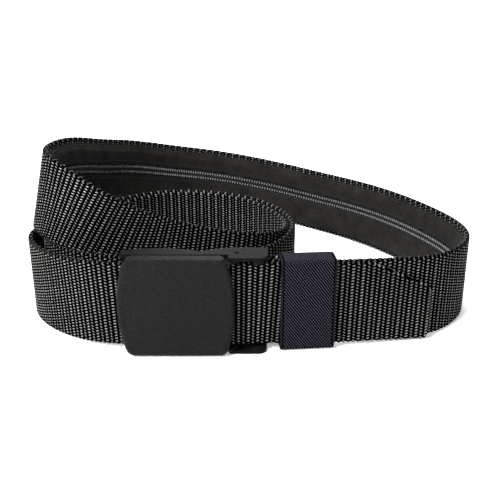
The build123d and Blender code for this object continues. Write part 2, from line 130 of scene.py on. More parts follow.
class Paint:
    """One procedural material under construction."""

    def __init__(self, name: str) -> None:
        """Start an empty material with a Principled shader.

        Args:
            name: the material's name.
        """
        self.material = bpy.data.materials.new(name)
        self.material.use_nodes = True
        self.tree = self.material.node_tree
        self.shader = self.tree.nodes["Principled BSDF"]

    def node(self, kind: str, settings: dict[str, object], inputs: dict, output: object = 0) -> Val:
        """Add any node.

        Args:
            kind: the node's type name.
            settings: its properties, with "stops" for a ramp's (position, colour) pairs.
            inputs: a value or a Val for each input, by its name or number.
            output: which output to hand back, by name or number.

        Returns:
            The chosen output, ready for arithmetic.
        """
        made = self.tree.nodes.new(kind)
        for key, value in settings.items():
            if key == "stops":
                self._stops(made.color_ramp.elements, value)
            else:
                setattr(made, key, value)
        for key, value in inputs.items():
            self.feed(made.inputs[key], value)
        return Val(self, made.outputs[output])

    def _stops(self, elements: bpy.types.bpy_prop_collection, stops: Sequence[tuple]) -> None:
        """Set a ramp's stops from (position, colour) pairs."""
        while len(elements) < len(stops):
            elements.new(0.5)
        for element, (position, colour) in zip(elements, stops):
            element.position = position
            element.color = (*colour, 1.0)

    def feed(self, socket: bpy.types.NodeSocket, value: object) -> None:
        """Link a Val to a socket, or set a plain value on it."""
        if isinstance(value, Val):
            self.tree.links.new(value.socket, socket)
        else:
            socket.default_value = value

    def coords(self, kind: Coords) -> Val:
        """The coordinates a pattern follows: the piece's own space, or its cloth map in metres."""
        if kind is Coords.OBJECT:
            return self.node("ShaderNodeTexCoord", {}, {}, "Object")
        return self.node("ShaderNodeUVMap", {"uv_map": kind.value}, {})

    def relief(self) -> Val:
        """The mesh's relief attribute: zero in the gaps of a pattern, one on its crowns."""
        return self.node("ShaderNodeAttribute", {"attribute_name": "relief"}, {}, "Fac")

    def split(self, cloth: Val) -> tuple[Val, Val]:
        """The cloth map's two directions: along and across."""
        along = self.node("ShaderNodeSeparateXYZ", {}, {"Vector": cloth}, "X")
        across = self.node("ShaderNodeSeparateXYZ", {}, {"Vector": cloth}, "Y")
        return along, across

    def noise(self, where: Val, scale: float, detail: float = 3.0, roughness: float = 0.55) -> Val:
        """A noise pattern's value at that scale."""
        inputs = {"Vector": where, "Scale": scale, "Detail": detail, "Roughness": roughness}
        return self.node("ShaderNodeTexNoise", {}, inputs)

    def stretch(self, where: Val, scale: tuple[float, float, float], turn: float = 0.0) -> Val:
        """The coordinates turned about the normal in radians, then scaled."""
        return self.node(
            "ShaderNodeMapping", {}, {"Vector": where, "Rotation": (0.0, 0.0, turn), "Scale": scale}
        )

    def mix(self, share: Val, low: tuple, high: tuple) -> Val:
        """A colour between two colours."""
        return self.node(
            "ShaderNodeMix", {"data_type": "RGBA"}, {0: share, 6: (*low, 1.0), 7: (*high, 1.0)}, 2
        )

    def ramp(self, value: Val, *stops: tuple) -> Val:
        """The value through a grey ramp of (position, level) stops."""
        return self.node(
            "ShaderNodeValToRGB", {"stops": [(at, (level,) * 3) for at, level in stops]}, {"Fac": value}
        )

    def bump(self, height: Val, distance: float, strength: float = 1.0, under: Val | None = None) -> Val:
        """A normal bent by the height, the distance in metres, over another normal if one is given."""
        inputs = {"Height": height, "Distance": distance, "Strength": strength}
        if under is not None:
            inputs["Normal"] = under
        return self.node("ShaderNodeBump", {}, inputs)

    def finish(self, **sockets: object) -> bpy.types.Material:
        """Set the shader's sockets, underscores standing for spaces.

        Args:
            sockets: a value or a Val for each of the shader's inputs.

        Returns:
            The finished material.
        """
        for name, value in sockets.items():
            self.feed(self.shader.inputs[name.replace("_", " ")], value)
        return self.material


@dataclass(frozen=True)
class WebbingFinish:
    """Thick woven polyester with fine filaments: painted shade in the gaps, painted highlights on the
    crowns.
    """

    name: str = "black_webbing"
    painted_shade_gap: tuple = (0.0005, 0.0005, 0.0006)
    painted_highlight_crown: tuple = (0.195, 0.188, 0.178)
    roughness: float = 0.75

    def build(self) -> bpy.types.Material:
        """The webbing's material, which reads the relief attribute of the weave."""
        paint = Paint(self.name)
        cloth = paint.coords(Coords.CLOTH)
        relief = paint.relief()
        patches = paint.noise(cloth, 55.0, 4.0)
        filaments = paint.noise(paint.stretch(cloth, (5200.0, 900.0, 1.0), 0.5), 1.0, 2.0)
        # The near-black gap colour is painted shade and the pale crown colour a painted highlight, both
        # following the relief.
        painted_highlight_crowns = paint.ramp(relief, (0.66, 0.0), (0.78, 0.3), (0.88, 1.0), (0.94, 1.0), (1.0, 0.45))
        share = painted_highlight_crowns * (0.4 + 0.9 * patches) * (0.35 + 1.3 * filaments)
        colour = paint.mix(share, self.painted_shade_gap, self.painted_highlight_crown)
        normal = paint.bump(filaments, 0.00012, 0.8)
        rough = self.roughness + 0.18 * patches - 0.1 * relief
        gloss = 0.5 * paint.ramp(relief, (0.7, 0.0), (0.92, 1.0))
        return paint.finish(
            Base_Color=colour, Roughness=rough, Normal=normal, Specular_IOR_Level=0.0, Coat_Weight=gloss,
            Coat_Roughness=0.36,
        )


@dataclass(frozen=True)
class TwillFinish:
    """Elastic tape with a steep twill and a faint blue cast."""

    name: str = "black_elastic"
    painted_shade_gap: tuple = (0.0006, 0.0006, 0.0011)
    painted_highlight_crown: tuple = (0.052, 0.053, 0.069)

    def build(self) -> bpy.types.Material:
        """The keeper's material, which reads the relief attribute of the twill."""
        paint = Paint(self.name)
        cloth = paint.coords(Coords.CLOTH)
        relief = paint.relief()
        filaments = paint.noise(paint.stretch(cloth, (2600.0, 6000.0, 1.0)), 1.0, 2.0)
        # The near-black gap colour is painted shade and the pale crown colour a painted highlight on the
        # twill's ridges.
        share = paint.ramp(relief, (0.3, 0.0), (0.62, 0.12), (0.9, 1.0)) * (0.4 + 1.1 * filaments)
        colour = paint.mix(share, self.painted_shade_gap, self.painted_highlight_crown)
        normal = paint.bump(filaments, 0.0001, 0.7)
        gloss = 0.25 * paint.ramp(relief, (0.6, 0.0), (0.95, 1.0))
        return paint.finish(
            Base_Color=colour, Roughness=0.75 - 0.12 * relief, Normal=normal, Specular_IOR_Level=0.0,
            Coat_Weight=gloss, Coat_Roughness=0.45,
        )


@dataclass(frozen=True)
class LiningFinish:
    """Thin plain-weave cloth, a little mottled and worn."""

    name: str = "black_lining"
    low: tuple = (0.004, 0.0038, 0.0035)
    high: tuple = (0.018, 0.0168, 0.015)
    thread_rate: float = 7539.84

    def build(self) -> bpy.types.Material:
        """The lining's material: crossed threads, in radians a metre, over slow patches."""
        paint = Paint(self.name)
        cloth = paint.coords(Coords.CLOTH)
        along, across = paint.split(cloth)
        weave = (along * self.thread_rate).sine() * (across * self.thread_rate).sine()
        patches = paint.noise(cloth, 90.0, 5.0, 0.65)
        wear = paint.noise(cloth, 700.0, 3.0)
        mottle = 0.15 + 0.55 * paint.ramp(patches, (0.34, 0.0), (0.68, 1.0))
        share = mottle * (0.2 + 1.5 * wear) + 0.06 * weave
        colour = paint.mix(share, self.low, self.high)
        under = paint.bump(weave, 0.00006, 0.8)
        normal = paint.bump(patches, 0.0012, 0.5, under)
        rough = 0.85 - 0.1 * wear
        return paint.finish(Base_Color=colour, Roughness=rough, Normal=normal, Specular_IOR_Level=0.06)


@dataclass(frozen=True)
class MouldedFinish:
    """Moulded plastic: a sprayed grain on the cover, or a smoother skin on the frame."""

    name: str
    low: tuple
    high: tuple
    grain: float
    grain_depth: float
    roughness: float
    shine: float
    flecks: float = 0.0

    def build(self) -> bpy.types.Material:
        """The plastic's material: fine grain, slow tone and a few pale flecks."""
        paint = Paint(self.name)
        place = paint.coords(Coords.OBJECT)
        grain = paint.noise(place, self.grain, 2.0)
        coarse = paint.noise(place, self.grain * 0.3, 3.0)
        tone = paint.noise(place, 28.0, 3.0)
        specks = paint.ramp(paint.noise(place, 900.0, 1.0), (0.74, 0.0), (0.80, self.flecks))
        colour = paint.mix(0.35 * tone + 0.45 * grain + specks, self.low, self.high)
        normal = paint.bump(grain + 0.6 * coarse, self.grain_depth, 1.0)
        rough = self.roughness + 0.16 * tone - 0.1 * grain
        return paint.finish(Base_Color=colour, Roughness=rough, Normal=normal, Specular_IOR_Level=self.shine)


@dataclass(frozen=True)
class MetalFinish:
    """Metal, bare or enamelled, with fine rubbing marks."""

    name: str
    low: tuple
    high: tuple
    metallic: float
    roughness: float

    def build(self) -> bpy.types.Material:
        """The metal's material: drawn marks and worn patches."""
        paint = Paint(self.name)
        place = paint.coords(Coords.OBJECT)
        marks = paint.noise(paint.stretch(place, (900.0, 900.0, 120.0)), 1.0, 3.0)
        worn = paint.noise(place, 260.0, 4.0)
        colour = paint.mix(0.5 * marks + 0.5 * worn, self.low, self.high)
        normal = paint.bump(marks, 0.00003, 0.6)
        return paint.finish(
            Base_Color=colour, Metallic=self.metallic, Roughness=self.roughness + 0.2 * worn, Normal=normal
        )


@dataclass(frozen=True)
class CoilFinish:
    """Glossy nylon filament, with a painted highlight where each turn stands highest."""

    name: str = "coil_nylon"
    body: tuple = (0.004, 0.004, 0.005)
    painted_highlight_crown: tuple = (0.33, 0.32, 0.31)

    def build(self) -> bpy.types.Material:
        """The coil's material, which reads the relief attribute: one on top of a turn, zero under it."""
        paint = Paint(self.name)
        relief = paint.relief()
        scuffs = paint.noise(paint.coords(Coords.CLOTH), 1500.0, 2.0)
        # The pale crown colour is a painted highlight on top of each turn.
        share = paint.ramp(relief, (0.86, 0.0), (0.97, 0.6), (1.0, 1.0)) * (0.5 + 0.8 * scuffs)
        normal = paint.bump(scuffs, 0.00003, 0.5)
        return paint.finish(
            Base_Color=paint.mix(share, self.body, self.painted_highlight_crown), Roughness=0.3 + 0.2 * scuffs, Normal=normal,
            Specular_IOR_Level=0.2,
        )


@dataclass(frozen=True)
class ThreadFinish:
    """Twisted sewing thread, or the close ribs of the zip's tape."""

    name: str
    low: tuple
    high: tuple
    twist: float
    roughness: float

    def build(self) -> bpy.types.Material:
        """The thread's material: slanting plies along its own map."""
        paint = Paint(self.name)
        cloth = paint.coords(Coords.CLOTH)
        along, across = paint.split(cloth)
        plies = (along * self.twist + across * (self.twist * 0.8)).sine()
        fuzz = paint.noise(cloth, 3000.0, 2.0)
        colour = paint.mix(0.5 + 0.3 * plies + 0.4 * (fuzz - 0.5), self.low, self.high)
        normal = paint.bump(plies + fuzz, 0.00005, 0.6)
        return paint.finish(
            Base_Color=colour, Roughness=self.roughness + 0.1 * fuzz, Normal=normal, Specular_IOR_Level=0.1
        )


# Shapes


@dataclass
class Patch:
    """A mesh held as whole arrays: points, four-cornered faces, cloth map and relief at each point."""

    points: Array
    quads: Array
    cloth: Array
    relief: Array

    def joined(self, others: Sequence["Patch"]) -> "Patch":
        """This patch and others as one."""
        parts = [self, *others]
        starts = np.cumsum([0] + [len(p.points) for p in parts[:-1]])
        return Patch(
            np.concatenate([p.points for p in parts]),
            np.concatenate([p.quads + s for p, s in zip(parts, starts)]),
            np.concatenate([p.cloth for p in parts]),
            np.concatenate([p.relief for p in parts]),
        )

    def outward(self) -> "Patch":
        """The patch with its faces turned out, from the sign of its enclosed volume."""
        a, b, c, d = (self.points[self.quads[:, k]] for k in range(4))
        first_half = np.einsum("ij,ij->i", a, np.cross(b, c)).sum()
        second_half = np.einsum("ij,ij->i", a, np.cross(c, d)).sum()
        if first_half + second_half < 0:
            self.quads = self.quads[:, ::-1]
        return self

    def to_object(self, name: str, finish: bpy.types.Material, body: str) -> bpy.types.Object:
        """Make the Blender object, in metres, and let it ride on its body.

        Args:
            name: the piece's name.
            finish: its material.
            body: the CAD body it moves with.

        Returns:
            The new object.
        """
        mesh = bpy.data.meshes.new(name)
        mesh.vertices.add(len(self.points))
        mesh.vertices.foreach_set("co", (self.points * MM).astype(np.float32).ravel())
        mesh.loops.add(self.quads.size)
        mesh.loops.foreach_set("vertex_index", self.quads.astype(np.int32).ravel())
        mesh.polygons.add(len(self.quads))
        mesh.polygons.foreach_set("loop_start", np.arange(0, self.quads.size, 4, dtype=np.int32))
        mesh.polygons.foreach_set("use_smooth", np.ones(len(self.quads), dtype=bool))
        mesh.update(calc_edges=True)
        layer = mesh.uv_layers.new(name="weave")
        layer.data.foreach_set("uv", (self.cloth[self.quads.ravel()] * MM).astype(np.float32).ravel())
        relief = mesh.attributes.new("relief", "FLOAT", "POINT")
        relief.data.foreach_set("value", self.relief.astype(np.float32))
        mesh.validate()
        mesh.materials.append(finish)
        piece = bpy.data.objects.new(name, mesh)
        bpy.context.scene.collection.objects.link(piece)
        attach(piece, body)
        log.info("%s: %d faces", name, len(mesh.polygons))
        return piece


def tube_quads(rings: int, around: int) -> Array:
    """Faces of a tube of rings that closes on itself around, ring by ring."""
    i, j = np.meshgrid(np.arange(rings - 1), np.arange(around), indexing="ij")
    k = (j + 1) % around
    corners = [i * around + j, i * around + k, (i + 1) * around + k, (i + 1) * around + j]
    return np.stack(corners, -1).reshape(-1, 4)


def end_caps(rings: int, around: int) -> Array:
    """Faces that close both ends of a tube whose ring runs up one face and down the other."""
    half = around // 2
    j = np.arange(half - 1)
    first = np.stack([j, around - 1 - j, around - 2 - j, j + 1], -1)
    last = first[:, ::-1] + (rings - 1) * around
    return np.concatenate([first, last])


class StrapPath:
    """The strap's middle line, and the space along, across and inwards from it."""

    def __init__(self, points: Sequence[tuple], step: float = 0.004) -> None:
        """Sample the spline finely and measure its length.

        Args:
            points: the control points: x, y, lift and lean.
            step: the sampling step in control intervals.
        """
        control = np.array(points, float)
        self.control = np.vstack([2 * control[0] - control[1], control, 2 * control[-1] - control[-2]])
        self.last = len(points) - 1.0
        self.u = np.arange(0.0, self.last + step / 2, step).clip(0, self.last)
        line = self._line(self.u)[0]
        self.length = np.concatenate([[0.0], np.cumsum(np.linalg.norm(np.diff(line, axis=0), axis=1))])

    def _line(self, u: Array) -> tuple[Array, Array, Array]:
        """The line, its direction and its lean at u: a uniform cubic B-spline and its derivative."""
        i = np.minimum(u.astype(int), int(self.last) - 1)
        t = (u - i)[..., None]
        a, b, c, d = (self.control[i + k] for k in range(4))
        s = 1 - t
        value = (s**3 * a + (3 * t**3 - 6 * t**2 + 4) * b + (3 * s**3 - 6 * s**2 + 4) * c + t**3 * d) / 6
        slope = (-(s**2) * a + (3 * t**2 - 4 * t) * b + (4 * s - 3 * s**2) * c + t**2 * d) / 2
        point = value[..., :3] + np.array([0, 0, WEBBING_WIDTH / 2])
        along = slope[..., :3] / np.linalg.norm(slope[..., :3], axis=-1, keepdims=True)
        return point, along, np.radians(value[..., 3])

    def at(self, control_number: float) -> float:
        """The length along the strap, in millimetres, at a control point's place."""
        return float(np.interp(control_number, self.u, self.length))

    def at_x(self, x: float, first: float, last: float) -> float:
        """The length along the strap where it reaches x between two control points."""
        u = np.linspace(first, last, 4000)
        return self.at(float(u[np.argmin(np.abs(self._line(u)[0][:, 0] - x))]))

    def place(self, along: Array, across: Array, inwards: Array) -> Array:
        """Points in space: the middle line at that length, plus across and inwards in the leaning frame.

        Args:
            along: length along the strap.
            across: distance up the strap's width from its middle.
            inwards: distance from the middle line towards the coil's inside.

        Returns:
            The points, with a last axis of three.
        """
        along, across, inwards = np.broadcast_arrays(along, across, inwards)
        point, run, lean = self._line(np.interp(along, self.length, self.u))
        up = np.array([0, 0, 1.0]) - run * run[..., 2:3]
        up /= np.linalg.norm(up, axis=-1, keepdims=True)
        inside = np.cross(run, up)
        turn = lean[..., None]
        across_way = up * np.cos(turn) + inside * np.sin(turn)
        inside_way = inside * np.cos(turn) - up * np.sin(turn)
        return point + across_way * across[..., None] + inside_way * inwards[..., None]


Surface = Callable[[Array, Array], Array]


@dataclass
class Band:
    """A cloth band in strap space: two faces and two rounded edges, as one closed tube.

    The back face's pattern is shifted across by half a bead, and the band has its nominal
    thickness where the relief is level. Edge bulge is the edges' roundness over the half thickness.
    """

    path: StrapPath
    start: float
    end: float
    low: Surface
    high: Surface
    middle: Surface
    half: float
    step: float
    rows: int
    relief: Surface
    depth: float
    edge_points: int = 3
    edge_bulge: float = 0.8
    back_shift: float = 0.69
    level: float = 0.6

    def patch(self) -> Patch:
        """The band's mesh.

        At each length the section runs up the inner face, round the upper edge, down the outer
        face and round the lower edge. Each point stands off the band's middle by half its
        thickness plus depth times the relief there.

        Returns:
            The closed mesh.
        """
        count = max(2, round((self.end - self.start) / self.step) + 1)
        along = np.linspace(self.start, self.end, count)
        up = np.linspace(0.0, 1.0, self.rows)
        arc = np.linspace(0.0, math.pi, self.edge_points + 2)[1:-1]
        share = np.concatenate([up, np.ones(self.edge_points), up[::-1], np.zeros(self.edge_points)])
        out = np.concatenate([np.ones(self.rows), np.cos(arc), -np.ones(self.rows), -np.cos(arc)])
        bulge = np.concatenate([np.zeros(self.rows), np.sin(arc), np.zeros(self.rows), -np.sin(arc)])
        s, f = np.meshgrid(along, share, indexing="ij")
        low, high = self.low(s, f), self.high(s, f)
        inset = self.half * self.edge_bulge
        across = low + inset + (high - low - 2 * inset) * f
        height = self.relief(s, across + np.where(out >= 0, 0.0, self.back_shift))
        thick = self.half + self.depth * (height - self.level)
        edge = across + bulge * thick * self.edge_bulge
        points = self.path.place(s, edge, self.middle(s, across) + out * thick)
        around = len(share)
        quads = np.concatenate([tube_quads(count, around), self._caps(count, around)])
        cloth = np.stack([s, across], -1).reshape(-1, 2)
        return Patch(points.reshape(-1, 3), quads, cloth, height.ravel()).outward()

    def _caps(self, rings: int, around: int) -> Array:
        """Faces across both ends, joining the inner face's points to the outer face's."""
        j = np.arange(self.rows - 1)
        other = 2 * self.rows + self.edge_points - 1 - j
        first = np.stack([j, other, other - 1, j + 1], -1)
        top = self.rows - 1 + np.arange(self.edge_points + 2)
        low = (np.arange(self.edge_points + 2) + 2 * self.rows + self.edge_points - 1) % around
        half = (self.edge_points + 1) // 2
        k = np.arange(half)
        for ring in (top, low):
            left, right = ring[k], ring[len(ring) - 1 - k]
            left_next, right_next = ring[k + 1], ring[len(ring) - 2 - k]
            first = np.concatenate([first, np.stack([left, right, right_next, left_next], -1)])
        return np.concatenate([first, first[:, ::-1] + (rings - 1) * around])


def flat(value: float) -> Surface:
    """A surface of one value everywhere."""
    return lambda s, w: np.full(s.shape, value)


@dataclass(frozen=True)
class Weave:
    """The heavy webbing's pattern: pairs of beaded cords across the strap.

    A cord is its centre in the pair, its half width, its beads' shift, their slant and its height.
    """

    pair_pitch: float = 4.4
    bead_pitch: float = 1.38
    cords: tuple = ((1.05, 1.16, 0.0, 0.18, 1.0), (3.30, 0.92, 0.5, -0.3, 0.95))

    def __call__(self, s: Array, w: Array) -> Array:
        """The relief from 0 in the gaps to 1 on the crowns.

        Each pair of cords repeats every pair pitch along the strap. A cord's section is a half
        round of its own half width, and it swells once every bead pitch across the strap, the
        second cord half a pitch after the first. The beads slant a little across their cord.
        """
        phase = (s / self.pair_pitch) % 1.0 * self.pair_pitch
        height = np.zeros(s.shape)
        for centre, half, shift, slant, tall in self.cords:
            x = (phase - centre) / half
            ridge = np.sqrt(np.clip(1 - x * x, 0, 1))
            bead = np.abs(np.cos(math.pi * (w / self.bead_pitch + shift + slant * x))) ** 0.9
            height = np.maximum(height, tall * ridge * (0.12 + 0.88 * bead))
        return height


def plain_cloth(s: Array, w: Array) -> Array:
    """The relief of smooth cloth: slow puckers, from three sines of unlike length added up."""
    wave = np.sin(s * 0.61 + w * 0.35) + 0.7 * np.sin(s * 0.233 - w * 0.5 + 1.7)
    return 0.6 + 0.18 * (wave + 0.4 * np.sin(s * 1.31 + 0.4))


def corner_cut(tip: Array, radius: float) -> Array:
    """How much a corner of that radius takes off an edge, at a distance from the tip."""
    short = np.clip(radius - tip, 0, None)
    return radius - np.sqrt(np.clip(radius**2 - short**2, 0, None))


@dataclass
class WebbingStrap:
    """The strap, in lengths that meet end to end."""

    path: StrapPath
    finish: bpy.types.Material
    lengths: int = 9
    tail_cut_length: float = 29.0
    tail_cut_height: float = 13.0
    tail_round: float = 3.5
    tail_low_round: float = 1.5
    cord_depth: float = 0.75
    step: float = 0.55
    rows: int = 110

    def top_edge(self, s: Array, _: Array) -> Array:
        """The upper edge: half the width, cut in a straight slant with a round end at the tip."""
        tip = s - self.path.at(0.0)
        slant = self.tail_cut_height * np.clip(1 - tip / self.tail_cut_length, 0, 1)
        return WEBBING_WIDTH / 2 - slant - corner_cut(tip, self.tail_round)

    def low_edge(self, s: Array, _: Array) -> Array:
        """The lower edge, with its small round at the tail's tip."""
        tip = s - self.path.at(0.0)
        return -WEBBING_WIDTH / 2 + corner_cut(tip, self.tail_low_round)

    def build(self) -> None:
        """Make every length of the strap."""
        cuts = np.linspace(self.path.at(0.0), self.path.at(self.path.last), self.lengths + 1)
        for number, (start, end) in enumerate(zip(cuts[:-1], cuts[1:])):
            band = Band(
                self.path, start, end, self.low_edge, self.top_edge, flat(0.0), WEBBING_HALF,
                self.step, self.rows, Weave(), self.cord_depth, edge_points=5,
            )
            piece = band.patch().to_object(f"webbing_length_{number + 1}", self.finish, "belt")
            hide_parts("webbing_strap")


@dataclass
class StitchRow:
    """A row of sewn stitches lying on cloth, in any space that has along, across and out."""

    place: Callable[[Array, Array, Array], Array]
    start: float
    end: float
    across: float
    level: float
    side: int = 1
    pitch: float = 3.1
    stitch: float = 2.5
    radius: float = 0.24
    hump: float = 0.22
    sunk: float = 0.12
    sections: int = 9
    around: int = 6

    def patch(self) -> Patch:
        """The stitches' mesh.

        Each stitch is a thin tube whose radius and height follow a half sine along it, so that
        it rises out of one needle hole and dives into the next.

        Returns:
            All stitches as one mesh.
        """
        count = int((self.end - self.start) / self.pitch)
        first = self.start + self.pitch * (np.arange(count) + 0.1)
        t = np.linspace(0.0, 1.0, self.sections)
        angle = np.linspace(0, 2 * math.pi, self.around, endpoint=False)
        rise = np.sin(math.pi * t)
        girth = self.radius * (0.25 + 0.75 * rise**0.5)
        s = first[:, None, None] + (self.stitch * t)[None, :, None] + 0 * angle
        w = self.across + girth[None, :, None] * np.cos(angle) + 0 * s
        middle = self.level + self.hump * rise[None, :, None] - self.sunk
        n = middle + girth[None, :, None] * np.sin(angle) + 0 * s
        points = self.place(s, w, self.side * n).reshape(-1, 3)
        ends = end_caps(self.sections, self.around)
        single = np.concatenate([tube_quads(self.sections, self.around), ends])
        size = self.sections * self.around
        quads = (single[None] + size * np.arange(count)[:, None, None]).reshape(-1, 4)
        cloth = np.stack([s, w * 3], -1).reshape(-1, 2)
        return Patch(points, quads, cloth, np.ones(len(points))).outward()


@dataclass
class Pocket:
    """The zipped pocket on the strap's inner face: linings, tapes, coils and their stitches."""

    path: StrapPath
    lining_finish: bpy.types.Material
    tape_finish: bpy.types.Material
    thread_finish: bpy.types.Material
    coil_finish: bpy.types.Material
    zip_across: float = 2.7
    lining_edge: float = 16.6
    lining_gap: float = 3.5
    lining_in: float = 3.58
    lining_half: float = 0.27
    hem_in: float = 1.55
    hem_slope: float = 4.6
    hem_seam: float = 1.3
    zip_seam: float = 1.2
    seam_lift: float = 0.34
    cloth_step: float = 1.2
    tape_in: float = 2.95
    tape_edges: tuple = (2.95, 9.4)
    tape_half: float = 0.18
    tape_rib_rate: float = 3.6
    coil_in: float = 3.05
    coil_middle: float = 1.42
    coil_reach: float = 1.12
    coil_rise: float = 0.36
    coil_wire: float = 0.30
    head_rise: float = 0.3
    head_wire: float = 0.16
    open_gap: float = 0.55
    parting_length: float = 6.0
    coil_pitch: float = 1.7
    start_point: float = 70.6
    zip_start_point: float = 71.6
    closed_x: float = 66.5
    end_x: float = 46.0
    last_run: tuple = (91.0, 98.0)
    start: float = field(init=False)
    zip_start: float = field(init=False)
    closed_end: float = field(init=False)
    end: float = field(init=False)

    def __post_init__(self) -> None:
        """Find the pocket's ends along the strap."""
        self.start = self.path.at(self.start_point)
        self.zip_start = self.path.at(self.zip_start_point)
        self.closed_end = self.path.at_x(self.closed_x, *self.last_run)
        self.end = self.path.at_x(self.end_x, *self.last_run)

    def lining_height(self) -> Surface:
        """How far the lining's middle stands in: full beside the zip, down to the webbing at its hem."""

        def height(_: Array, w: Array) -> Array:
            edge = np.clip((self.lining_edge - np.abs(w)) / self.hem_slope, 0, 1)
            smooth = edge * edge * (3 - 2 * edge)
            return self.hem_in + (self.lining_in - self.hem_in) * smooth

        return height

    def lining(self, side: int, name: str) -> None:
        """One lining, with its hem and its row of stitches on each long edge.

        Args:
            side: 1 above the zip, -1 below it.
            name: upper or lower.
        """
        near = self.zip_across + side * self.lining_gap
        far = side * self.lining_edge
        low, high = min(near, far), max(near, far)
        band = Band(
            self.path, self.start, self.end, flat(low), flat(high), self.lining_height(),
            self.lining_half, self.cloth_step, rows=34, relief=plain_cloth, depth=0.6,
        )
        piece = band.patch().to_object(f"pocket_lining_cloth_{name}", self.lining_finish, "belt")
        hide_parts(f"pocket_lining_{name}")
        seams = {
            f"hem_stitching_{name}": far - side * self.hem_seam,
            f"zip_stitching_{name}": near + side * self.zip_seam,
        }
        for node, across in seams.items():
            level = float(self.lining_height()(np.zeros(1), np.array([across]))[0]) + self.seam_lift
            row = StitchRow(self.path.place, self.start + 1, self.end - 1, across, level)
            stitches = row.patch().to_object(f"{node}_thread", self.thread_finish, "belt")
            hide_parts(node)

    def tape(self, side: int, name: str) -> None:
        """One tape, ribbed across, under the lining."""
        low, high = sorted(self.zip_across + side * edge for edge in self.tape_edges)
        band = Band(
            self.path, self.zip_start, self.end, flat(low), flat(high), flat(self.tape_in),
            self.tape_half, self.cloth_step, rows=12,
            relief=lambda s, w: 0.5 + 0.5 * np.cos(s * self.tape_rib_rate), depth=0.1, edge_points=1,
        )
        piece = band.patch().to_object(f"zip_tape_cloth_{name}", self.tape_finish, "belt")
        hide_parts(f"zipper_tape_{name}")

    def coil(self, side: int, name: str) -> None:
        """One half of the zip: a monofilament wound in flat turns, one turn every coil pitch.

        The filament's line goes round a flat oval while it moves along; its head at the zip's
        middle is thicker, and the two halves' heads alternate. Beyond the slider the halves part.
        """
        turns = int((self.end - self.zip_start) / self.coil_pitch)
        per_turn, around = 16, 6
        t = np.arange(turns * per_turn + 1) / per_turn
        angle = 2 * math.pi * t
        past_slider = self.zip_start + t * self.coil_pitch - self.closed_end
        parted = np.clip(past_slider / self.parting_length, 0, 1)
        head = np.clip(np.cos(angle), 0, 1) ** 3
        s = self.zip_start + self.coil_pitch * (t + 0.25 * (1 + side)) + 0.18 * np.sin(2 * angle)
        w = self.coil_middle - self.coil_reach * np.cos(angle) + self.open_gap * parted
        n = self.coil_in + self.coil_rise * np.sin(angle) + self.head_rise * head
        girth = self.coil_wire + self.head_wire * head
        line = np.stack([s, w, n], -1)
        run = np.gradient(line, axis=0)
        run /= np.linalg.norm(run, axis=1, keepdims=True)
        first = np.cross(run, np.array([1.0, 0, 0]))
        first /= np.linalg.norm(first, axis=1, keepdims=True)
        second = np.cross(run, first)
        turn = np.linspace(0, 2 * math.pi, around, endpoint=False)
        ring = first[:, None] * np.cos(turn)[None, :, None] + second[:, None] * np.sin(turn)[None, :, None]
        body = line[:, None] + girth[:, None, None] * ring
        across = self.zip_across + side * body[..., 1]
        points = self.path.place(body[..., 0], across, body[..., 2]).reshape(-1, 3)
        quads = np.concatenate([tube_quads(len(t), around), end_caps(len(t), around)])
        cloth = np.stack([body[..., 0], body[..., 1]], -1).reshape(-1, 2)
        # This relief marks the top of each turn, where the coil's material paints its highlight.
        painted_highlight_crown = np.repeat(0.5 + 0.5 * np.sin(angle), around)
        patch = Patch(points, quads, cloth, painted_highlight_crown).outward()
        piece = patch.to_object(f"zip_coil_turns_{name}", self.coil_finish, "belt")
        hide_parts(f"zipper_coil_{name}")

    def build(self) -> None:
        """Make both halves of the pocket."""
        for side, name in ((1, "upper"), (-1, "lower")):
            self.lining(side, name)
            self.tape(side, name)
            self.coil(side, name)


